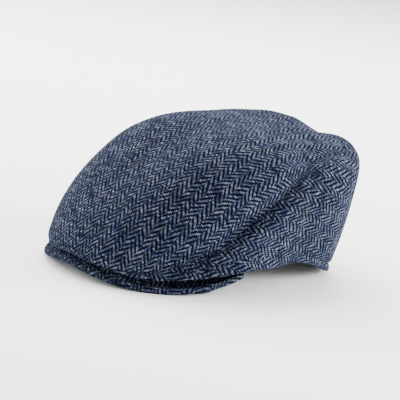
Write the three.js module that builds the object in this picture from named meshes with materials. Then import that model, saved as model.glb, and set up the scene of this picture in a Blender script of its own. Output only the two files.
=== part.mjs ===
import * as THREE from "three";

// Flat cap of herringbone tweed, resting on its rear hem and on both sides of its peak.
// Millimetres, +Z up, -Y the front, +X the wearer's left. The origin is on the floor, in the
// middle of the cap's length and width. A station is a distance behind the origin.

// Cloth
const clothWall = 2.2;
const pieceGap = 0.3;

// Crown, seen from above: two half ovals round the crown's middle
const middleStation = 44.5;
const crownHalfWidth = 101;
const crownFrontReach = 169;
const crownRearReach = 82;
const frontSquareness = 2.3;
const rearSquareness = 2.2;
const crownHeight = 115.5;
const crownTilt = 0.06;

// Crown sections, one row for each angle round the middle, from the front (0) to the back (180).
// bulgeHeight: height of the widest line. fullness: how far the top stays level before it falls.
// rounding: how upright it meets the widest line.
// hemInset and hemHeight: lower edge of the cloth, measured in from the widest line and up from
// the floor. seamHeight: the seam between the top panel and the side panel. valley: how deep
// that seam lies between the puffed cloth on both sides.
const crownColumns = [
  "angle", "bulgeHeight", "fullness", "rounding", "hemInset", "hemHeight", "seamHeight", "valley",
];
const crownRows = [
  [  0, 21, 2.4, 1.10,  4, 15,  15, 0],
  [ 12, 21, 2.4, 1.10,  4, 12,  13, 0],
  [ 25, 22, 3.2, 1.25,  4,  8,  14, 4],
  [ 40, 29, 3.8, 1.45,  5, 14,  29, 5],
  [ 55, 50, 3.8, 1.50,  7, 20,  57, 5],
  [ 70, 65, 3.4, 1.60, 12, 21,  80, 5],
  [ 90, 71, 2.8, 1.80, 15, 18, 101, 5],
  [120, 81, 3.0, 2.00, 15,  7, 107, 5],
  [150, 98, 5.6, 2.00, 14,  0, 111, 2],
  [180, 98, 5.0, 2.00, 12,  0, 108, 2],
];

// Soft hollows pressed into the top: the angle and the fraction of the way out to the widest
// line, how far each one spreads, and its depth
const hollowColumns = ["angle", "outward", "spreadAngle", "spreadOutward", "depth"];
const hollowRows = [
  [180, 0.80, 26, 0.14, 8],
  [150, 0.74, 22, 0.13, 5],
];

// Soft folds in the sides, the same on both: angle and height of the middle, lean from level,
// how far the fold spreads along and across its line, and its depth. A ridge has less than 0.
const foldColumns = ["angle", "height", "lean", "spreadAlong", "spreadAcross", "depth"];
const foldRows = [
  [ 83,  62, 80, 30,  9,  2.0],
  [ 95,  44, 65, 18,  9,  1.6],
  [ 66,  88, 40, 22, 10, -2.5],
];

// Seam valley: how wide it is on each side of the seam
const valleyWidthAbove = 15;
const valleyWidthBelow = 7;

// Side panels
const hemTuck = 1.6;
const sidePanelTipAngle = 12;
const sidePanelTipHeight = 1;
const hemOnPeakAngle = 42;

// Peak, seen from above: an oval, cut off along the oval of the head opening
const peakHalfWidth = 92;
const peakReach = 103;
const peakStation = -23.5;
const peakThickness = 3.2;
const peakFrontHeight = 8;
const peakSlope = Math.tan(THREE.MathUtils.degToRad(20));
const peakArch = 33;
const peakArchPower = 1.5;
const peakEndAngle = 90;
const headHalfWidth = 86;
const headHalfLength = 100;
const headStation = 28.5;
const peakInnerEndAngle = 62;
const peakEndRise = 0.6;

// Mesh steps
const sectorAngle = 4;
const topPanelRings = 14;
const sidePanelRings = 8;
const peakSectors = 40;
const peakRings = 4;

const tweed = { color: 0x475264, roughness: 0.92, metalness: 0 };

function nameValues(columns, values) {
  return Object.fromEntries(columns.map((name, index) => [name, values[index]]));
}

// Smooth values between the rows of a table, level at both ends
function readTable(columns, rows) {
  const angles = rows.map((row) => row[0]);
  const curve = new THREE.CubicInterpolant(angles, rows.flat(), columns.length);
  curve.settings = {
    endingStart: THREE.ZeroSlopeEnding,
    endingEnd: THREE.ZeroSlopeEnding,
  };
  return (angle) => nameValues(columns, curve.evaluate(Math.min(Math.abs(angle), 180)));
}

const crownSection = readTable(crownColumns, crownRows);

function bulgeRadius(angle) {
  const turn = THREE.MathUtils.degToRad(angle);
  const front = Math.cos(turn) > 0;
  const reach = front ? crownFrontReach : crownRearReach;
  const power = front ? frontSquareness : rearSquareness;
  const across = Math.abs(Math.sin(turn)) / crownHalfWidth;
  const along = Math.abs(Math.cos(turn)) / reach;
  return (across ** power + along ** power) ** (-1 / power);
}

function peakUnderside(x, y) {
  const behindRim = y - (peakStation - peakReach);
  const drop = peakArch * (Math.abs(x) / peakHalfWidth) ** peakArchPower;
  return peakFrontHeight + peakSlope * behindRim - drop;
}

// Height and radius of the plain crown form. reach runs from 0 at the top to 1 at the widest
// line and 2 at the hem.
function plainProfile(angle, reach) {
  const section = crownSection(angle);
  const bulge = bulgeRadius(angle);
  if (reach <= 1) {
    const fraction = 1 - (1 - reach) ** section.rounding;
    const rise = Math.max(0, 1 - fraction ** section.fullness) ** (1 / section.rounding);
    const level = crownTilt * (1 - fraction ** 2);
    const behindMiddle = -bulge * fraction * Math.cos(THREE.MathUtils.degToRad(angle));
    return {
      radius: bulge * fraction,
      height: section.bulgeHeight + (crownHeight - section.bulgeHeight) * rise
        + level * behindMiddle,
    };
  }
  const drop = reach - 1;
  const radius = bulge - section.hemInset * drop ** hemTuck;
  return {
    radius,
    height: section.bulgeHeight + (hemHeight(angle) - section.bulgeHeight) * drop,
  };
}

// The hem stands on the floor at the back, and at the front it lies on the peak
function hemHeight(angle) {
  const section = crownSection(angle);
  const turn = THREE.MathUtils.degToRad(angle);
  const radius = bulgeRadius(angle) - section.hemInset;
  const x = radius * Math.sin(turn);
  const y = middleStation - radius * Math.cos(turn);
  const onPeak = peakUnderside(x, y) + peakThickness + pieceGap;
  const free = Math.max(0, section.hemHeight);
  return Math.abs(angle) < hemOnPeakAngle ? Math.max(free, onPeak) : free;
}

function place(angle, radius, height) {
  const turn = THREE.MathUtils.degToRad(angle);
  return new THREE.Vector3(
    radius * Math.sin(turn),
    middleStation - radius * Math.cos(turn),
    height,
  );
}

// Reach at which the seam runs, found by halving. In front of the side panels it is the hem.
function seamReach(angle) {
  if (Math.abs(angle) < sidePanelTipAngle) return 2;
  const wanted = Math.max(crownSection(angle).seamHeight, hemHeight(angle) + sidePanelTipHeight);
  let low = 0;
  let high = 2;
  for (let step = 0; step < 30; step += 1) {
    const middle = (low + high) / 2;
    if (plainProfile(angle, middle).height > wanted) low = middle;
    else high = middle;
  }
  return (low + high) / 2;
}

const hollows = hollowRows.map((row) => nameValues(hollowColumns, row));
const folds = foldRows.map((row) => nameValues(foldColumns, row));

function foldDepth(angle, radius, height) {
  let depth = 0;
  for (const fold of folds) {
    const round = THREE.MathUtils.degToRad(Math.abs(angle) - fold.angle) * radius;
    const up = height - fold.height;
    const lean = THREE.MathUtils.degToRad(fold.lean);
    const along = (round * Math.cos(lean) + up * Math.sin(lean)) / fold.spreadAlong;
    const across = (up * Math.cos(lean) - round * Math.sin(lean)) / fold.spreadAcross;
    depth += fold.depth * Math.exp(-(along ** 2) - across ** 2);
  }
  return depth;
}

function plainPoint(angle, reach) {
  const profile = plainProfile(angle, reach);
  const point = place(angle, profile.radius, profile.height);
  if (reach >= 1) return point;
  const outward = profile.radius / bulgeRadius(angle);
  for (const hollow of hollows) {
    const sideways = (Math.abs(angle) - hollow.angle) / hollow.spreadAngle;
    const lengthways = (outward - hollow.outward) / hollow.spreadOutward;
    point.z -= hollow.depth * Math.exp(-(sideways ** 2) - lengthways ** 2);
  }
  return point;
}

// Outward direction of a surface, from the points a step away on both sides
function surfaceNormal(surface, angle, reach, reachSide, angleSide) {
  const middle = Math.max(reach, 2 * reachSide);
  const alongProfile = surface(angle, Math.min(middle + reachSide, 2))
    .sub(surface(angle, middle - reachSide));
  const round = surface(angle + angleSide, middle).sub(surface(angle - angleSide, middle));
  return alongProfile.cross(round).normalize();
}

// Crown surface with the seam's valley and the folds
function crownPoint(angle, reach) {
  const point = plainPoint(angle, reach);
  if (reach === 0) return point;
  const seam = seamReach(angle);
  const away = point.distanceTo(plainPoint(angle, seam));
  const width = reach < seam ? valleyWidthAbove : valleyWidthBelow;
  const valley = crownSection(angle).valley * Math.exp(-((away / width) ** 2));
  const fold = foldDepth(angle, plainProfile(angle, reach).radius, point.z);
  const outward = surfaceNormal(plainPoint, angle, reach, 0.12, 2);
  return point.addScaledVector(outward, -valley - fold);
}

function crownNormal(angle, reach) {
  if (reach === 0) return new THREE.Vector3(0, 0, 1);
  return surfaceNormal(crownPoint, angle, reach, 0.05, 2);
}

// Closed body from a list of points and triangles, with its own flat-shaded material
function solid(name, points, triangles) {
  const geometry = new THREE.BufferGeometry();
  const coordinates = points.flatMap((point) => point.toArray());
  geometry.setAttribute("position", new THREE.Float32BufferAttribute(coordinates, 3));
  geometry.setIndex(triangles.flat());
  geometry.computeVertexNormals();
  const mesh = new THREE.Mesh(geometry, new THREE.MeshStandardMaterial(tweed));
  mesh.name = name;
  return mesh;
}

// Cloth wall on a grid: outer(i, j) gives the outside, inner(i, j) the inside
function clothWallOnGrid(name, sectors, rings, outer, inner) {
  const points = [];
  for (const side of [outer, inner]) {
    for (let i = 0; i <= sectors; i += 1) {
      for (let j = 0; j <= rings; j += 1) points.push(side(i, j));
    }
  }
  const row = rings + 1;
  const innerStart = (sectors + 1) * row;
  const triangles = [];
  const quad = (a, b, c, d) => triangles.push([a, b, c], [a, c, d]);
  for (let i = 0; i < sectors; i += 1) {
    for (let j = 0; j < rings; j += 1) {
      const a = i * row + j;
      quad(a, a + 1, a + row + 1, a + row);
      quad(innerStart + a, innerStart + a + row, innerStart + a + row + 1, innerStart + a + 1);
    }
    const top = i * row;
    const hem = i * row + rings;
    quad(top, top + row, innerStart + top + row, innerStart + top);
    quad(hem, innerStart + hem, innerStart + hem + row, hem + row);
  }
  for (let j = 0; j < rings; j += 1) {
    const last = sectors * row + j;
    quad(j, innerStart + j, innerStart + j + 1, j + 1);
    quad(last, last + 1, innerStart + last + 1, innerStart + last);
  }
  return solid(name, points, triangles);
}

function insideOf(angle, reach) {
  const point = crownPoint(angle, reach);
  const inside = point.clone().addScaledVector(crownNormal(angle, reach), -clothWall);
  if (reach === 2) inside.z = point.z;
  return inside;
}

function reachStep(angle, reach, length) {
  const small = 0.002;
  const span = plainPoint(angle, reach).distanceTo(plainPoint(angle, reach - small));
  return length * small / span;
}

function topPanelEdge(angle) {
  const seam = seamReach(angle);
  return seam === 2 ? 2 : seam - reachStep(angle, seam, pieceGap / 2);
}

function makeTopPanel() {
  const topPanelSectors = 360 / sectorAngle;
  const points = [];
  const triangles = [];
  const sides = [crownPoint, insideOf];
  const ringStart = (side, ring) => side * (1 + topPanelRings * topPanelSectors)
    + 1 + (ring - 1) * topPanelSectors;
  sides.forEach((side) => {
    points.push(side(0, 0));
    for (let ring = 1; ring <= topPanelRings; ring += 1) {
      for (let sector = 0; sector < topPanelSectors; sector += 1) {
        const angle = sector * sectorAngle - 180;
        points.push(side(angle, topPanelEdge(angle) * ring / topPanelRings));
      }
    }
  });
  for (let sector = 0; sector < topPanelSectors; sector += 1) {
    const next = (sector + 1) % topPanelSectors;
    for (const side of [0, 1]) {
      const flip = (corners) => (side ? corners : corners.reverse());
      const pole = side * (1 + topPanelRings * topPanelSectors);
      triangles.push(flip([pole, ringStart(side, 1) + next, ringStart(side, 1) + sector]));
      for (let ring = 1; ring < topPanelRings; ring += 1) {
        const a = ringStart(side, ring) + sector;
        const b = ringStart(side, ring) + next;
        const c = ringStart(side, ring + 1) + next;
        const d = ringStart(side, ring + 1) + sector;
        triangles.push(flip([a, b, c]), flip([a, c, d]));
      }
    }
    const outer = ringStart(0, topPanelRings);
    const inner = ringStart(1, topPanelRings);
    triangles.push([outer + sector, inner + sector, inner + next]);
    triangles.push([outer + sector, inner + next, outer + next]);
  }
  return solid("top_panel", points, triangles);
}

function makeSidePanel(name, hand) {
  const sidePanelSectors = (180 - sidePanelTipAngle) / sectorAngle;
  const backAngle = 180 - THREE.MathUtils.radToDeg(pieceGap / 2 / crownRearReach);
  const spot = (side) => (i, j) => {
    const angle = Math.min(sidePanelTipAngle + i * sectorAngle, backAngle);
    const seam = seamReach(angle);
    const edge = seam + reachStep(angle, seam, pieceGap / 2);
    const point = side(angle, THREE.MathUtils.lerp(edge, 2, j / sidePanelRings));
    point.x *= hand;
    return point;
  };
  const outside = spot(crownPoint);
  const inside = spot(insideOf);
  const mesh = clothWallOnGrid(name, sidePanelSectors, sidePanelRings, outside, inside);
  if (hand < 0) mesh.geometry.index.array.reverse();
  return mesh;
}

// Top of the peak, kept below the hem where the peak's ends pass under it
function peakTop(x, y) {
  const angle = THREE.MathUtils.radToDeg(Math.atan2(Math.abs(x), middleStation - y));
  const radius = Math.hypot(x, y - middleStation);
  const plain = Math.max(0, peakUnderside(x, y)) + peakThickness;
  const insideHem = bulgeRadius(angle) - crownSection(angle).hemInset - radius;
  const clearance = Math.max(0, insideHem - 2 * clothWall) * peakEndRise;
  return Math.min(plain, hemHeight(angle) - pieceGap + clearance);
}

function makePeak() {
  const spot = (drop) => (i, j) => {
    const across = i / peakSectors * 2 - 1;
    const outerTurn = THREE.MathUtils.degToRad(peakEndAngle * across);
    const innerTurn = THREE.MathUtils.degToRad(peakInnerEndAngle * across);
    const out = j / peakRings;
    const x = THREE.MathUtils.lerp(
      headHalfWidth * Math.sin(innerTurn),
      peakHalfWidth * Math.sin(outerTurn),
      out,
    );
    const y = THREE.MathUtils.lerp(
      headStation - headHalfLength * Math.cos(innerTurn),
      peakStation - peakReach * Math.cos(outerTurn),
      out,
    );
    return new THREE.Vector3(x, y, peakTop(x, y) - drop);
  };
  return clothWallOnGrid("peak", peakSectors, peakRings, spot(0), spot(peakThickness));
}

const cap = new THREE.Group();
cap.add(makeTopPanel());
cap.add(makeSidePanel("side_panel_left", 1));
cap.add(makeSidePanel("side_panel_right", -1));
cap.add(makePeak());

export default cap;
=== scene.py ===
import math
import bpy
from mathutils import Matrix, Vector, kdtree, noise


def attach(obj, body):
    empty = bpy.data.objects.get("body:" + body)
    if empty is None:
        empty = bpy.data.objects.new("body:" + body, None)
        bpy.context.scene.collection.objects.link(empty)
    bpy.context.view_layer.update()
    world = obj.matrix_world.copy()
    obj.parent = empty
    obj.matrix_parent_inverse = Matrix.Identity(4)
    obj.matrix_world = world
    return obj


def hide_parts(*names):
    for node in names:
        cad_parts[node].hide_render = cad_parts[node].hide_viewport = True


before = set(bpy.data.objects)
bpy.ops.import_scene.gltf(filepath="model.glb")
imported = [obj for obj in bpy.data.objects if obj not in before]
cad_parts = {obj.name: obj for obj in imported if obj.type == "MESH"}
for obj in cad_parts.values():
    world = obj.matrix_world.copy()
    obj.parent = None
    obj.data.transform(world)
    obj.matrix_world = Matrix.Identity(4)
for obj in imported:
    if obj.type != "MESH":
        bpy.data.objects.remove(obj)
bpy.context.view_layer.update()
print("frame loaded")


# camera and light

camera = {
    "azimuth": 48, "elevation": 13, "roll": 7,
    "aim": (0, 7.75, 52.5), "aimAside": (3.7, 3.1), "distance": 1365,  # millimetres
    "lens": 152.1, "clipStart": 0.05,
}


def makeCamera():
    a, e, roll = (math.radians(camera[key]) for key in ("azimuth", "elevation", "roll"))
    right = Vector((math.cos(a), math.sin(a), 0))
    up = Vector((-math.sin(a) * math.sin(e), math.cos(a) * math.sin(e), math.cos(e)))
    back = Vector((math.sin(a) * math.cos(e), -math.cos(a) * math.cos(e), math.sin(e)))
    turnedRight = right * math.cos(roll) + up * math.sin(roll)
    turnedUp = up * math.cos(roll) - right * math.sin(roll)
    place = Vector(camera["aim"]) + back * camera["distance"]
    place -= turnedRight * camera["aimAside"][0] + turnedUp * camera["aimAside"][1]
    bpy.ops.object.camera_add(location=place / 1000)
    cam = bpy.context.object
    cam.name = "camera"
    cam.rotation_mode = "QUATERNION"
    cam.rotation_quaternion = Matrix((turnedRight, turnedUp, back)).transposed().to_quaternion()
    cam.data.lens = camera["lens"]
    cam.data.clip_start = camera["clipStart"]
    bpy.context.scene.camera = cam


studio = {
    "floorColour": (0.93, 0.93, 0.93), "floorRoughness": 0.9, "floorSize": 12,
    "skyColour": (1.0, 1.0, 1.0), "skyStrength": 1.45,
    "lampAim": (0, 0, 0.05),
    # name, place, size, watts
    "lamps": [
        ("overhead", (-0.9, 0.6, 1.5), 1.5, 105),
        ("right", (1.2, 1.9, 0.4), 1.2, 230),
        ("left", (-1.9, -0.6, 0.7), 1.2, 70),
    ],
}


def makeStudio():
    for name, place, size, watts in studio["lamps"]:
        bpy.ops.object.light_add(type="AREA", location=place)
        lamp = bpy.context.object
        lamp.name = name
        lamp.data.size = size
        lamp.data.energy = watts
        aim = Vector(studio["lampAim"]) - Vector(place)
        lamp.rotation_euler = aim.to_track_quat("-Z", "Y").to_euler()
    world = bpy.data.worlds.new("studio")
    world.use_nodes = True
    sky = world.node_tree.nodes["Background"]
    sky.inputs["Color"].default_value = (*studio["skyColour"], 1)
    sky.inputs["Strength"].default_value = studio["skyStrength"]
    bpy.context.scene.world = world
    bpy.ops.mesh.primitive_plane_add(size=studio["floorSize"])
    floor = bpy.context.object
    floor.name = "floor"
    paint = bpy.data.materials.new("paleFloor")
    paint.use_nodes = True
    shader = paint.node_tree.nodes["Principled BSDF"]
    shader.inputs["Base Color"].default_value = (*studio["floorColour"], 1)
    shader.inputs["Roughness"].default_value = studio["floorRoughness"]
    floor.data.materials.append(paint)


makeCamera()
makeStudio()
print("camera and studio ready")


# node maths

class Socket:  # a socket that can be used in sums

    def __init__(self, tree, link):
        self.tree = tree
        self.link = link

    def maths(self, operation, first, second):
        inputs = {0: first, 1: second}
        return addNode(self.tree, "ShaderNodeMath", {"operation": operation}, inputs)

    def __add__(self, other):
        return self.maths("ADD", self, other)

    def __radd__(self, other):
        return self.maths("ADD", other, self)

    def __sub__(self, other):
        return self.maths("SUBTRACT", self, other)

    def __rsub__(self, other):
        return self.maths("SUBTRACT", other, self)

    def __mul__(self, other):
        return self.maths("MULTIPLY", self, other)

    def __rmul__(self, other):
        return self.maths("MULTIPLY", other, self)

    def __truediv__(self, other):
        return self.maths("DIVIDE", self, other)

    def __mod__(self, other):
        return self.maths("FLOORED_MODULO", self, other)

    def __lt__(self, other):
        return self.maths("LESS_THAN", self, other)

    def __gt__(self, other):
        return self.maths("GREATER_THAN", self, other)

    def __floordiv__(self, other):
        return self.maths("FLOOR", self / other, 0)


def addNode(tree, kind, settings={}, inputs={}, output=0):
    node = tree.nodes.new(kind)
    for name, value in settings.items():
        if name == "stops":  # a ramp's places and colours
            for place, colour in value[1:-1]:
                node.color_ramp.elements.new(place)
            for element, (place, colour) in zip(node.color_ramp.elements, value):
                element.position = place
                element.color = (*colour, 1)
        else:
            setattr(node, name, value)
    for name, value in inputs.items():
        if isinstance(value, Socket):
            tree.links.new(value.link, node.inputs[name])
        else:
            node.inputs[name].default_value = value
    return Socket(tree, node.outputs[output])


# tweed cloth: a two and two herringbone, light picks over dark ends

tweed = {
    "endPitch": 1.07, "pickPitch": 1.27,  # millimetres between threads
    "endsPerColumn": 6, "breakShift": 2,  # picks that the twill jumps where it turns
    "wander": 5.2, "wanderScale": 0.045,  # how far the threads stray, and the scale of the noise
    "threadDepth": 0.35, "bumpStrength": 0.8, "pickRelief": 0.3, "fibreRelief": 0.8,
    # scales of the noise across and along the cloth, and the flecks' place in depth
    "pickTone": (0.11, 3.7), "endTone": (5.3, 0.10), "fleckTone": (0.13, 2.9, 40.0),
    "fleckHueScale": 0.43, "fleckFrom": 0.66, "fleckStrength": 0.75,
    "fibreScale": 1.9, "fibreRoughness": 0.7, "broadScale": 0.02,
    # how far the colour darkens towards each thread's rounded edges, which is painted shade between
    # the threads, then how far the fibre and broad noises vary the tone at random
    "roundShade": 0.38, "fibreShade": 0.56, "broadShade": 0.20,
    "darkThread": [
        (0.30, (0.0002, 0.0004, 0.0018)), (0.55, (0.0004, 0.0010, 0.0045)),
        (0.75, (0.002, 0.005, 0.022)),
    ],
    "lightThread": [
        (0.30, (0.004, 0.008, 0.028)), (0.45, (0.029, 0.039, 0.078)),
        (0.58, (0.086, 0.100, 0.149)), (0.75, (0.172, 0.190, 0.238)),
    ],
    "fleckThread": [
        (0.0, (0.009, 0.018, 0.085)), (0.40, (0.022, 0.042, 0.025)),
        (0.52, (0.030, 0.022, 0.060)), (0.64, (0.034, 0.031, 0.028)),
    ],
    "roughness": 0.95, "specular": 0.03,
    "sheen": 0.01, "sheenRoughness": 0.3, "sheenTint": (0.60, 0.72, 1.0),
}


def addNoise(tree, place, scale, detail, output=0, **more):
    inputs = {"Vector": place, "Scale": scale, "Detail": detail, **more}
    return addNode(tree, "ShaderNodeTexNoise", {}, inputs, output)


def addRamp(tree, stops, place):
    return addNode(tree, "ShaderNodeValToRGB", {"stops": stops}, {0: place})


def addMix(tree, share, first, second, blend="MIX"):
    settings = {"data_type": "RGBA", "blend_type": blend}
    return addNode(tree, "ShaderNodeMix", settings, {0: share, 6: first, 7: second}, 2)


def addPlace(tree, across, along, depth=0.0):
    return addNode(tree, "ShaderNodeCombineXYZ", {}, {0: across, 1: along, 2: depth})


def makeTweed():
    cloth = bpy.data.materials.new("herringboneTweed")
    cloth.use_nodes = True
    tree = cloth.node_tree
    shader = tree.nodes["Principled BSDF"]
    flat = addNode(tree, "ShaderNodeUVMap", {"uv_map": "weave"})
    drift = addNoise(tree, flat, tweed["wanderScale"], 1.0, "Color")
    across, along = [
        addNode(tree, "ShaderNodeSeparateXYZ", {}, {0: flat}, k)
        + (addNode(tree, "ShaderNodeSeparateColor", {}, {0: drift}, k) - 0.5) * tweed["wander"]
        for k in range(2)
    ]
    end = across // tweed["endPitch"]
    pick = along // tweed["pickPitch"]
    column = end // tweed["endsPerColumn"]
    odd = column % 2
    inside = end - column * tweed["endsPerColumn"]
    step = inside + odd * (tweed["endsPerColumn"] - 1 - 2 * inside)
    pickOver = (pick - step + odd * tweed["breakShift"]) % 4 < 1.5  # two picks of every four

    endMiddle = (across / tweed["endPitch"] - end - 0.5) * 2
    pickMiddle = (along / tweed["pickPitch"] - pick - 0.5) * 2
    endRound = 1 - endMiddle * endMiddle
    pickRound = 1 - pickMiddle * pickMiddle
    raised = endRound + pickOver * (pickRound - endRound)

    alongPick, pickApart = tweed["pickTone"]
    endApart, alongEnd = tweed["endTone"]
    alongFleck, fleckApart, fleckDepth = tweed["fleckTone"]
    pickTone = addNoise(tree, addPlace(tree, across * alongPick, pick * pickApart), 1.0, 2.0)
    endTone = addNoise(tree, addPlace(tree, end * endApart, along * alongEnd), 1.0, 2.0)
    fleckPlace = addPlace(tree, across * alongFleck, pick * fleckApart, fleckDepth)
    fleck = addNoise(tree, fleckPlace, 1.0, 0.0)
    fleckHue = addNoise(tree, fleckPlace, tweed["fleckHueScale"], 0.0)
    fibre = addNoise(tree, flat, tweed["fibreScale"], 3.0, Roughness=tweed["fibreRoughness"])
    broad = addNoise(tree, flat, tweed["broadScale"], 2.0)

    flecks = (fleck > tweed["fleckFrom"]) * tweed["fleckStrength"]
    spot = addRamp(tree, tweed["fleckThread"], fleckHue)
    light = addMix(tree, flecks, addRamp(tree, tweed["lightThread"], pickTone), spot)
    both = addMix(tree, pickOver, addRamp(tree, tweed["darkThread"], endTone), light)
    # painted shade: the colour darkens where each thread rounds away, between the threads; the
    # fibre and broad noises add a random tone on top
    shade = (
        (1 - tweed["roundShade"] + raised * tweed["roundShade"])
        * (1 - tweed["fibreShade"] / 2 + fibre * tweed["fibreShade"])
        * (1 - tweed["broadShade"] / 2 + broad * tweed["broadShade"])
    )
    grey = addNode(tree, "ShaderNodeCombineColor", {}, {0: shade, 1: shade, 2: shade})
    colour = addMix(tree, 1.0, both, grey, "MULTIPLY")
    relief = raised * (1 - tweed["pickRelief"] + pickOver * tweed["pickRelief"])
    bump = addNode(tree, "ShaderNodeBump", {}, {
        "Strength": tweed["bumpStrength"], "Distance": tweed["threadDepth"] / 1000,
        "Height": relief + fibre * tweed["fibreRelief"],
    })
    tree.links.new(colour.link, shader.inputs["Base Color"])
    tree.links.new(bump.link, shader.inputs["Normal"])
    shader.inputs["Roughness"].default_value = tweed["roughness"]
    shader.inputs["Specular IOR Level"].default_value = tweed["specular"]
    shader.inputs["Sheen Weight"].default_value = tweed["sheen"]
    shader.inputs["Sheen Roughness"].default_value = tweed["sheenRoughness"]
    shader.inputs["Sheen Tint"].default_value = (*tweed["sheenTint"], 1)
    return cloth


herringboneTweed = makeTweed()
print("tweed ready")


# the crown's form, in millimetres: an angle round the middle from the front (0) to the back (180),
# and a reach from the top (0) over the widest line (1) to the hem (2)

crown = {
    "middle": 44.5, "halfWidth": 101, "frontReach": 169, "rearReach": 82,
    "frontSquareness": 2.3, "rearSquareness": 2.2, "height": 115.5, "tilt": 0.06,
    "valleyAbove": 17, "valleyBelow": 7,  # widths of the valley on both sides of the top seam
    "hemTuck": 1.35, "tipAngle": 12, "tipHeight": 1, "onPeakAngle": 42,
    # angle, height of widest line, fullness, rounding, hem inset, hem height, seam height, valley
    "sections": [
        (0, 19, 2.4, 1.2, 2, 15, 15, 0),
        (12, 19, 2.7, 1.2, 2, 12, 13, 0),
        (25, 22, 3.2, 1.33, 1.5, 8, 14, 5),
        (40, 29, 4.0, 1.45, 2.5, 14, 29, 8.5),
        (55, 50, 3.9, 1.5, 5, 20, 57, 8),
        (70, 65, 3.4, 1.6, 12, 19, 80, 7),
        (90, 72, 2.8, 1.8, 16, 16.5, 101, 6.5),
        (120, 87, 3.0, 2.2, 14, 3, 107, 5.5),
        (150, 100, 5.6, 2.2, 12, 0, 111, 2),
        (180, 98, 5.0, 2.0, 11, 0, 108, 2),
    ],
    # angle, fraction of the way out, angle spread, outward spread, depth
    "hollows": [
        (180, 0.80, 26, 0.14, 8), (150, 0.74, 22, 0.13, 5),
        (140, 0.58, 20, 0.11, 3), (165, 0.42, 26, 0.16, -2.4),
    ],
    # angle, height, lean, spread along, spread across, depth
    "folds": [
        (83, 62, 80, 30, 9, 2.0), (95, 44, 65, 18, 9, 1.6), (66, 88, 40, 22, 10, -2.5),
    ],
    "backSeamDepth": 1.2, "backSeamWidth": 4,
    # where the crown's side lifts off the peak: first and last angle, height
    "hemLift": (18, 58, 1.5),
    # where its lower edge turns outwards: first and last angle, how far, and over what height
    "hemFlare": (20, 80, 5.5, 7.5),
    "seamCalm": 5,  # distance from the top seam over which the side panels' own forms begin
    # crease over the turned hem of the side panels: height above the hem, width and depth, then
    # the angle where it begins and the angle over which it grows
    "hemCrease": (6.5, 1.8, 2.0), "hemCreaseFrom": 75, "hemCreaseGrowth": 30,
    # scale and depth of the small unevenness, and how fast it fades towards the hem
    "unevenness": [(0.030, 0.6), (0.075, 0.3)], "hemCalm": 5,
    "probe": (0.12, 2),  # reach and angle to both sides between which the surface is felt
}

peak = {
    "halfWidth": 92, "reach": 103, "station": -23.5, "thickness": 3.2,
    "frontHeight": 8, "slope": 20, "arch": 33, "archPower": 1.5, "endAngle": 90, "columns": 72,
    # the slit under the crown's side: its depth, the start and end of it along the peak, how far
    # behind the rim it begins, and how far it takes to reach its depth
    "slit": (10, 0.34, 1.04, 3.4, 5.5),
    "bead": 1.2,  # how far the rim is raised
    "headHalfWidth": 86, "headHalfLength": 100, "headStation": 28.5, "innerEndAngle": 62,
    "gap": 0.3,  # to the crown's hem
    # how far inside the hem the peak may rise again, and how steeply
    "riseFrom": 4.4, "endRise": 0.6,
    # lines across the top: shares of the way out, then distances from the rim
    "innerLines": [0, 0.15, 0.3, 0.45, 0.6], "outerLines": [14, 11.5, 9, 7, 5], "rimSteps": 6,
}


def between(value):
    return min(1, max(0, value))


def hump(value, start, end):
    # rises from nothing at the start and falls back to nothing at the end
    return math.sin(math.pi * between((value - start) / (end - start)))


def searchEdge(holds, near, far, halvings):
    # closes in on the place between near and far up to which a condition holds
    for halving in range(halvings):
        middle = (near + far) / 2
        if holds(middle):
            near = middle
        else:
            far = middle
    return near, far


def sectionAt(angle, known={}):
    angle = min(abs(angle), 180)
    key = round(angle, 4)
    if key not in known:
        rows = crown["sections"]
        flat = [0] * len(rows[0])
        slopes = [flat]
        for before, row, after in zip(rows, rows[1:], rows[2:]):
            slopes.append([
                ((b - a) / (row[0] - before[0]) + (c - b) / (after[0] - row[0])) / 2
                for a, b, c in zip(before, row, after)
            ])
        slopes.append(flat)
        i = max(k for k in range(len(rows) - 1) if rows[k][0] <= angle)
        span = rows[i + 1][0] - rows[i][0]
        t = (angle - rows[i][0]) / span
        known[key] = [
            (1 + 2 * t) * (1 - t) ** 2 * rows[i][k] + t * (1 - t) ** 2 * span * slopes[i][k]
            + t * t * (3 - 2 * t) * rows[i + 1][k] - t * t * (1 - t) * span * slopes[i + 1][k]
            for k in range(len(flat))
        ]
    return known[key]


def bulgeRadius(angle):
    turn = math.radians(angle)
    isFront = math.cos(turn) > 0
    reach = crown["frontReach"] if isFront else crown["rearReach"]
    power = crown["frontSquareness"] if isFront else crown["rearSquareness"]
    sideways = abs(math.sin(turn) / crown["halfWidth"]) ** power
    lengthways = abs(math.cos(turn) / reach) ** power
    return (sideways + lengthways) ** (-1 / power)


def peakUnderside(x, y):
    behindRim = y - peak["station"] + peak["reach"]
    drop = peak["arch"] * (abs(x) / peak["halfWidth"]) ** peak["archPower"]
    return peak["frontHeight"] + math.tan(math.radians(peak["slope"])) * behindRim - drop


def placeOf(angle, radius, height):
    turn = math.radians(angle)
    return Vector((radius * math.sin(turn), crown["middle"] - radius * math.cos(turn), height))


def hemHeight(angle, known={}):
    key = round(abs(angle), 4)
    if key not in known:
        section = sectionAt(angle)
        free = max(0, section[5])
        spot = placeOf(angle, bulgeRadius(angle) - section[4], 0)
        onPeak = peakUnderside(spot.x, spot.y) + peak["thickness"] + peak["gap"]
        start, end, high = crown["hemLift"]
        lift = high * hump(abs(angle), start, end)
        known[key] = (max(free, onPeak) if abs(angle) < crown["onPeakAngle"] else free) + lift
    return known[key]


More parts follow.
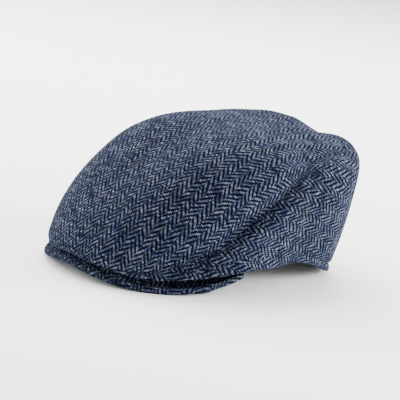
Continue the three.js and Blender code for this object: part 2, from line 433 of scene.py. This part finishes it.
def profileAt(angle, reach):
    bulgeHeight, fullness, rounding, hemInset = sectionAt(angle)[1:5]
    bulge = bulgeRadius(angle)
    if reach <= 1:
        fraction = 1 - (1 - reach) ** rounding
        rise = max(0, 1 - fraction ** fullness) ** (1 / rounding)
        behindMiddle = -bulge * fraction * math.cos(math.radians(angle))
        height = bulgeHeight + (crown["height"] - bulgeHeight) * rise
        return bulge * fraction, height + crown["tilt"] * (1 - fraction ** 2) * behindMiddle
    drop = reach - 1
    height = bulgeHeight + (hemHeight(angle) - bulgeHeight) * drop
    return bulge - hemInset * drop ** crown["hemTuck"], height


def seamReach(angle, known={}):
    key = round(abs(angle), 4)
    if key not in known:
        if abs(angle) < crown["tipAngle"]:
            known[key] = 2
        else:
            wanted = max(sectionAt(angle)[6], hemHeight(angle) + crown["tipHeight"])
            above, below = searchEdge(lambda reach: profileAt(angle, reach)[1] > wanted, 0, 2, 26)
            known[key] = (above + below) / 2
    return known[key]


def foldDepth(angle, radius, height):
    depth = 0
    for foldAngle, foldHeight, lean, spreadAlong, spreadAcross, foldDeep in crown["folds"]:
        roundWay = math.radians(abs(angle) - foldAngle) * radius
        up = height - foldHeight
        lean = math.radians(lean)
        along = (roundWay * math.cos(lean) + up * math.sin(lean)) / spreadAlong
        aside = (up * math.cos(lean) - roundWay * math.sin(lean)) / spreadAcross
        depth += foldDeep * math.exp(-along * along - aside * aside)
    return depth


def plainPoint(angle, reach):
    radius, height = profileAt(angle, reach)
    point = placeOf(angle, radius, height)
    if reach < 1:
        outward = radius / bulgeRadius(angle)
        for hollowAngle, hollowOut, spreadAngle, spreadOut, depth in crown["hollows"]:
            sideways = (abs(angle) - hollowAngle) / spreadAngle
            lengthways = (outward - hollowOut) / spreadOut
            point.z -= depth * math.exp(-sideways ** 2 - lengthways ** 2)
    return point


def surfaceNormal(surface, angle, reach, reachSide, angleSide):
    middle = max(reach, 2 * reachSide)
    down = surface(angle, min(middle + reachSide, 2)) - surface(angle, middle - reachSide)
    aside = surface(angle + angleSide, middle) - surface(angle - angleSide, middle)
    return down.cross(aside).normalized()


def crownPoint(angle, reach):
    point = plainPoint(angle, reach)
    seam = seamReach(angle)
    fromSeam = (point - plainPoint(angle, seam)).length
    fromHem = (point - plainPoint(angle, 2)).length
    valleyWidth = crown["valleyAbove"] if reach < seam else crown["valleyBelow"]
    depth = sectionAt(angle)[7] * math.exp(-(fromSeam / valleyWidth) ** 2)
    depth += foldDepth(angle, profileAt(angle, reach)[0], point.z)
    freed = 1 - math.exp(-(fromSeam / crown["seamCalm"]) ** 2)
    pastCrease = abs(angle) - crown["hemCreaseFrom"]
    if reach > seam and pastCrease > 0:
        backSeam = math.exp(-(point.x / crown["backSeamWidth"]) ** 2)
        depth += freed * crown["backSeamDepth"] * backSeam
        up, width, deep = crown["hemCrease"]
        strength = between(pastCrease / crown["hemCreaseGrowth"])
        depth += strength * deep * math.exp(-((fromHem - up) / width) ** 2)
    if reach > seam:
        start, end, flare, tall = crown["hemFlare"]
        share = hump(abs(angle), start, end)
        depth -= freed * share * flare * math.exp(-(fromHem / tall) ** 2)
    calm = between((2 - reach) * crown["hemCalm"]) if reach > 1 else 1
    for size, deep in crown["unevenness"]:
        depth += calm * deep * noise.noise(point * size)
    if reach > 0:
        outward = surfaceNormal(plainPoint, angle, reach, *crown["probe"])
    else:
        outward = Vector((0, 0, 1))
    return point - outward * depth


# one cloth piece: a grid laid on the form, its edges rolled and turned in

cloth = {
    "thickness": 1.0, "gap": 0.1, "seamRoll": 1.0, "seamTurn": 4, "hemRoll": 1.3, "hemTurn": 9,
    "closeRows": (10, 8.2, 7, 6, 5, 3.8, 2),  # distances from the lower edge
    # heights of cloth below which its rolled edges and its close rows shrink with it
    "lowForEdges": 12, "lowForRows": 24,
    "rollSteps": 4, "turnShares": (0.4, 1.0), "edgeStep": 0.03, "edgeProbe": (0.04, 2),
    "heart": (0, 0.02, 0.02),  # a place inside the cap, in metres
    # unrolling: rounds of it, and the distance and the least area of the faces that set its turn
    "unrollRounds": 12, "unrollNear": 0.04, "unrollLeast": 1e-16,
}


def selectOnly(thing):
    bpy.ops.object.select_all(action="DESELECT")
    thing.select_set(True)
    bpy.context.view_layer.objects.active = thing


def layGrid(name, columns, rows, spot):
    bpy.ops.object.select_all(action="DESELECT")
    bpy.ops.mesh.primitive_grid_add(x_subdivisions=columns, y_subdivisions=rows, size=2)
    piece = bpy.context.object
    piece.name = piece.data.name = name
    for vertex in piece.data.vertices:
        i = round((vertex.co.x + 1) / 2 * columns)
        j = round((vertex.co.y + 1) / 2 * rows)
        vertex.co = spot(i, j) / 1000
    bpy.ops.object.mode_set(mode="EDIT")
    bpy.ops.mesh.select_all(action="SELECT")
    bpy.ops.mesh.remove_doubles(threshold=1e-6)
    bpy.ops.mesh.normals_make_consistent(inside=False)
    bpy.ops.object.mode_set(mode="OBJECT")
    return piece


def faceOutwards(piece, point):
    point = Vector(point) / 1000
    nearest = min(piece.data.polygons, key=lambda face: (face.center - point).length)
    if nearest.normal.dot(nearest.center - Vector(cloth["heart"])) < 0:
        selectOnly(piece)
        bpy.ops.object.mode_set(mode="EDIT")
        bpy.ops.mesh.select_all(action="SELECT")
        bpy.ops.mesh.flip_normals()
        bpy.ops.object.mode_set(mode="OBJECT")


def unrollWeave(piece, point, warp):
    # flattens the cloth in millimetres, with the warp running the given way at one point
    selectOnly(piece)
    bpy.ops.object.mode_set(mode="EDIT")
    bpy.ops.mesh.select_all(action="SELECT")
    bpy.ops.uv.unwrap(method="MINIMUM_STRETCH", margin=0, iterations=cloth["unrollRounds"])
    bpy.ops.object.mode_set(mode="OBJECT")
    mesh = piece.data
    mesh.uv_layers[0].name = "weave"
    flat = mesh.uv_layers["weave"].uv
    point = Vector(point) / 1000
    warp = Vector(warp).normalized()
    area = flatArea = 0
    lean = Vector((0, 0))
    for face in mesh.polygons:
        corners = [mesh.vertices[mesh.loops[k].vertex_index].co for k in face.loop_indices[:3]]
        spots = [flat[k].vector.copy() for k in face.loop_indices[:3]]
        e1, e2 = corners[1] - corners[0], corners[2] - corners[0]
        d1, d2 = spots[1] - spots[0], spots[2] - spots[0]
        if (face.center - point).length < cloth["unrollNear"]:
            area += e1.cross(e2).length
            flatArea += abs(d1.x * d2.y - d1.y * d2.x)
            normal = face.normal
            along = (warp - normal * warp.dot(normal)).normalized()
            n11, n12, n22 = e1.dot(e1), e1.dot(e2), e2.dot(e2)
            r1, r2 = along.dot(e1), along.dot(e2)
            whole = n11 * n22 - n12 * n12
            if whole > cloth["unrollLeast"]:
                flatWay = d1 * (r1 * n22 - r2 * n12) + d2 * (r2 * n11 - r1 * n12)
                lean += flatWay / whole * face.area
    size = 1000 * math.sqrt(area / flatArea)
    turn = math.pi / 2 - math.atan2(lean.y, lean.x)
    nearest = min(mesh.polygons, key=lambda face: (face.center - point).length)
    centre = flat[nearest.loop_indices[0]].vector.copy()
    cosine, sine = math.cos(turn) * size, math.sin(turn) * size
    for spot in flat:
        away = spot.vector - centre
        spot.vector = (away.x * cosine - away.y * sine, away.x * sine + away.y * cosine)


def thicken(piece, thickness):
    selectOnly(piece)
    smooth = piece.modifiers.new("smooth", "SUBSURF")
    smooth.levels = smooth.render_levels = 1
    bpy.ops.object.modifier_apply(modifier="smooth")
    if thickness:
        wall = piece.modifiers.new("wall", "SOLIDIFY")
        wall.thickness = thickness / 1000
        wall.offset = -1
        bpy.ops.object.modifier_apply(modifier="wall")
    bpy.ops.object.shade_smooth()


def finishPiece(piece, nodes):
    piece.data.materials.clear()
    piece.data.materials.append(herringboneTweed)
    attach(piece, "root")
    if nodes:
        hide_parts(*nodes)
    print(piece.name, len(piece.data.polygons), "faces")


def reachAway(angle, reach, way, length):
    # the reach at a distance from another one, way 1 towards the hem or -1 towards the top
    start = plainPoint(angle, reach)

    def isNearer(change):
        return (plainPoint(angle, reach + way * change) - start).length < length

    return reach + way * searchEdge(isNearer, 0, 0.5, 22)[0]


def turnedEdge(angle, reach, way, roll, quarterTurns, turnIn):
    # the points of an edge that rolls inwards, way 1 towards the hem or -1 towards the top
    edge = crownPoint(angle, reach)
    before = crownPoint(angle, reach - way * cloth["edgeStep"])
    normal = surfaceNormal(crownPoint, angle, reach, *cloth["edgeProbe"])
    onward = (edge - before).normalized()
    onward = (onward - normal * onward.dot(normal)).normalized()
    heart = edge - normal * roll
    points = []
    for step in range(1, cloth["rollSteps"] + 1):
        turn = math.pi / 2 * quarterTurns * step / cloth["rollSteps"]
        points.append(heart + normal * roll * math.cos(turn) + onward * roll * math.sin(turn))
    rolled = points[-1]
    back = -normal if quarterTurns == 1 else -onward
    return points + [rolled + back * turnIn * share for share in cloth["turnShares"]]


def clothLine(angle, start, end, steps, startEdge, endEdge):
    # points of the cloth down one angle, from its upper edge to its lower one
    height = (plainPoint(angle, start) - plainPoint(angle, end)).length
    edgeScale = min(1, height / cloth["lowForEdges"])
    rowScale = min(1, height / cloth["lowForRows"])
    kinds = (startEdge, endEdge)
    rolls = [cloth[kind + "Roll"] * edgeScale if kind else 0 for kind in kinds]
    room = [
        roll + (cloth["gap"] / 2 if kind == "seam" else 0) for roll, kind in zip(rolls, kinds)
    ]
    first = reachAway(angle, start, 1, room[0]) if startEdge else start
    last = reachAway(angle, end, -1, room[1])
    points = []
    if startEdge:
        points += reversed(turnedEdge(angle, first, -1, rolls[0], 1, cloth["seamTurn"] * edgeScale))
    reaches = [reachAway(angle, last, -1, away * rowScale) for away in cloth["closeRows"]]
    for k in range(steps):
        points.append(crownPoint(angle, first + (reaches[0] - first) * k / steps))
    points += [crownPoint(angle, reach) for reach in reaches + [last]]
    quarterTurns = 2 if endEdge == "hem" else 1
    turnIn = cloth[endEdge + "Turn"] * edgeScale
    if endEdge == "hem":  # the turned hem ends below the widest line
        turnIn = min(turnIn, (profileAt(angle, 1)[1] - hemHeight(angle)) / 2)
    return points + turnedEdge(angle, last, 1, rolls[1], quarterTurns, turnIn)


# top panel, one piece from the peak over the crown to the back

topPanel = {"sectorAngle": 3, "steps": 34, "outside": (0, 0, 116), "warp": (0, -1, 0)}


def makeTopPanel():
    columns = round(360 / topPanel["sectorAngle"])
    lines = []
    for i in range(columns):
        angle = i * topPanel["sectorAngle"] - 180
        seam = seamReach(angle)
        edge = "hem" if seam == 2 else "seam"
        lines.append(clothLine(angle, 0, seam, topPanel["steps"], None, edge))
    rows = len(lines[0]) - 1
    piece = layGrid("top_panel_cloth", columns, rows, lambda i, j: lines[i % columns][j])
    faceOutwards(piece, topPanel["outside"])
    unrollWeave(piece, topPanel["outside"], topPanel["warp"])
    thicken(piece, cloth["thickness"])
    finishPiece(piece, ["top_panel"])


# side panels, from the peak's front to the back seam

sidePanel = {
    "sectorAngle": 3, "steps": 24, "outside": (100, 44, 50), "warp": (0, -1.15, 0.74),
    "lastAngle": 179.96,  # short of the middle, so that the halves stay apart
}


def makeSidePanel(hand, name, node):
    columns = round((180 - crown["tipAngle"]) / sidePanel["sectorAngle"])
    lines = []
    for i in range(columns + 1):
        angle = min(crown["tipAngle"] + i * sidePanel["sectorAngle"], sidePanel["lastAngle"])
        line = clothLine(angle, seamReach(angle), 2, sidePanel["steps"], "seam", "hem")
        lines.append([Vector((point.x * hand, point.y, point.z)) for point in line])
    piece = layGrid(name, columns, len(lines[0]) - 1, lambda i, j: lines[i][j])
    x, y, z = sidePanel["outside"]
    faceOutwards(piece, (x * hand, y, z))
    unrollWeave(piece, (x * hand, y, z), sidePanel["warp"])
    thicken(piece, cloth["thickness"])
    finishPiece(piece, [node])


# peak: a flat crescent with a round rim and a stitched line inside it

def peakTop(x, y):
    angle = math.degrees(math.atan2(abs(x), crown["middle"] - y))
    radius = math.hypot(x, y - crown["middle"])
    plain = max(0, peakUnderside(x, y)) + peak["thickness"]
    insideHem = bulgeRadius(angle) - sectionAt(angle)[4] - radius
    clearance = max(0, insideHem - peak["riseFrom"]) * peak["endRise"]
    return min(plain, hemHeight(angle) - peak["gap"] + clearance)


def peakSpot(across, out):
    outer = math.radians(peak["endAngle"] * across)
    inner = math.radians(peak["innerEndAngle"] * across)
    x0 = peak["headHalfWidth"] * math.sin(inner)
    y0 = peak["headStation"] - peak["headHalfLength"] * math.cos(inner)
    x1 = peak["halfWidth"] * math.sin(outer)
    y1 = peak["station"] - peak["reach"] * math.cos(outer)
    x, y = x0 + (x1 - x0) * out, y0 + (y1 - y0) * out
    depth, start, end, behindRim, run = peak["slit"]
    inward = between((math.hypot(x1 - x0, y1 - y0) * (1 - out) - behindRim) / run)
    slit = depth * hump(abs(across), start, end) * inward * inward * (3 - 2 * inward)
    return Vector((x, y, max(peak["thickness"], peakTop(x, y) - slit)))


stitches = {
    "in": 3.2, "groove": 0.55, "grooveSides": (0.9, 0.8),  # outside the groove's middle
    "long": 2.6, "pitch": 3.9, "thick": 0.7, "sunk": 0.35, "span": 0.97,
    "segments": 10, "rings": 8, "samples": 1000, "aside": 2,
    "colours": [(0.3, (0.001, 0.0012, 0.003)), (0.7, (0.004, 0.006, 0.014))],
    "twistScale": 900.0, "bumpStrength": 0.6, "bumpDepth": 0.0002,
    "roughness": 0.8, "specular": 0.1,
}


def peakLine(across):
    length = (peakSpot(across, 1) - peakSpot(across, 0)).length
    roll = peak["thickness"] / 2
    behind, ahead = stitches["grooveSides"]
    groove = [stitches["in"] + behind, stitches["in"], stitches["in"] - ahead, roll]
    ways = peak["innerLines"] + [1 - away / length for away in peak["outerLines"] + groove]
    top = [peakSpot(across, way) for way in ways]
    under = [point - Vector((0, 0, peak["thickness"])) for point in reversed(top)]
    onward = (top[-1] - top[-2]).normalized()
    heart = top[-1] - Vector((0, 0, roll))
    top[-3] -= Vector((0, 0, stitches["groove"]))
    top[-2] += Vector((0, 0, peak["bead"]))
    heart += Vector((0, 0, peak["bead"] / 2))
    top[-1] += Vector((0, 0, peak["bead"]))
    rim = []
    for step in range(1, peak["rimSteps"]):
        turn = math.pi * step / peak["rimSteps"]
        up = Vector((0, 0, (roll + peak["bead"] / 2) * math.cos(turn)))
        rim.append(heart + up + onward * roll * math.sin(turn))
    return top + rim + under


def makePeak():
    columns = peak["columns"]
    lines = [peakLine(i / columns * 2 - 1) for i in range(columns + 1)]
    rows = len(lines[0])
    piece = layGrid("peak_cloth", columns, rows, lambda i, j: lines[i][j % rows])
    selectOnly(piece)
    bpy.ops.object.mode_set(mode="EDIT")
    bpy.ops.mesh.select_mode(type="EDGE")
    bpy.ops.mesh.select_all(action="DESELECT")
    bpy.ops.mesh.select_non_manifold()
    bpy.ops.mesh.fill_holes(sides=0)
    bpy.ops.mesh.select_all(action="SELECT")
    bpy.ops.mesh.normals_make_consistent(inside=False)
    bpy.ops.mesh.select_mode(type="VERT")
    bpy.ops.object.mode_set(mode="OBJECT")
    # the cloth runs outwards over the top, round the rim and back along the underside
    places = kdtree.KDTree(len(lines) * rows)
    flatSpots = []
    nearRim = len(peak["innerLines"]) + 3
    for line in lines:
        outward = (line[nearRim] - line[0]).to_2d().normalized()
        gone = 0
        for before, point in zip([line[0]] + line, line):
            gone += (point - before).length
            places.insert(point, len(flatSpots))
            flatSpots.append(line[0].to_2d() + outward * gone)
    places.balance()
    piece.data.uv_layers[0].name = "weave"
    for loop, spot in zip(piece.data.loops, piece.data.uv_layers["weave"].uv):
        corner = piece.data.vertices[loop.vertex_index].co * 1000
        spot.vector = flatSpots[places.find(corner)[1]]
    thicken(piece, 0)
    finishPiece(piece, ["peak"])


# stitches in the groove round the peak's rim

def makeThread():
    thread = bpy.data.materials.new("stitchThread")
    thread.use_nodes = True
    tree = thread.node_tree
    shader = tree.nodes["Principled BSDF"]
    place = addNode(tree, "ShaderNodeTexCoord", {}, {}, "Object")
    twist = addNoise(tree, place, stitches["twistScale"], 2.0)
    shade = addRamp(tree, stitches["colours"], twist)
    bump = addNode(tree, "ShaderNodeBump", {}, {
        "Strength": stitches["bumpStrength"], "Distance": stitches["bumpDepth"], "Height": twist,
    })
    tree.links.new(shade.link, shader.inputs["Base Color"])
    tree.links.new(bump.link, shader.inputs["Normal"])
    shader.inputs["Roughness"].default_value = stitches["roughness"]
    shader.inputs["Specular IOR Level"].default_value = stitches["specular"]
    return thread


def makeOneStitch():
    bpy.ops.object.select_all(action="DESELECT")
    bpy.ops.mesh.primitive_uv_sphere_add(
        segments=stitches["segments"], ring_count=stitches["rings"], radius=1,
    )
    stitch = bpy.context.object
    long, thick = stitches["long"] / 2000, stitches["thick"] / 2000
    for vertex in stitch.data.vertices:
        x, y, z = vertex.co
        vertex.co = (z * long, y * thick, x * thick - z * z * thick)  # the ends dip
    bpy.ops.object.shade_smooth()
    return stitch


def makeStitches():
    thread = makeThread()
    pattern = makeOneStitch()
    spots = []
    gone, before = 0, None
    for k in range(2 * stitches["samples"] + 1):
        across = (k / stitches["samples"] - 1) * stitches["span"]
        length = (peakSpot(across, 1) - peakSpot(across, 0)).length
        spot = peakSpot(across, 1 - stitches["in"] / length)
        inward = peakSpot(across, 1 - (stitches["in"] + stitches["aside"]) / length)
        if before:
            gone += (spot - before).length
            if gone >= stitches["pitch"]:
                gone -= stitches["pitch"]
                spots.append((spot, (spot - before).normalized(), (inward - spot).normalized()))
        before = spot
    copies = []
    for spot, along, inward in spots:
        stitch = pattern.copy()
        stitch.data = pattern.data.copy()
        bpy.context.collection.objects.link(stitch)
        up = along.cross(inward).normalized()
        up = up if up.z > 0 else -up
        aside = up.cross(along)
        turn = Matrix((along, aside, up)).transposed().to_4x4()
        centre = spot - up * (stitches["groove"] - stitches["thick"] * stitches["sunk"])
        stitch.data.transform(Matrix.Translation(centre / 1000) @ turn)
        copies.append(stitch)
    selectOnly(pattern)
    bpy.ops.object.delete()
    selectOnly(copies[0])
    for stitch in copies:
        stitch.select_set(True)
    bpy.ops.object.join()
    piece = bpy.context.object
    piece.name = piece.data.name = "peak_stitches"
    piece.data.materials.clear()
    piece.data.materials.append(thread)
    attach(piece, "root")
    print(piece.name, len(copies), "stitches")


makeTopPanel()
makeSidePanel(1, "side_panel_left_cloth", "side_panel_left")
makeSidePanel(-1, "side_panel_right_cloth", "side_panel_right")
makePeak()
makeStitches()
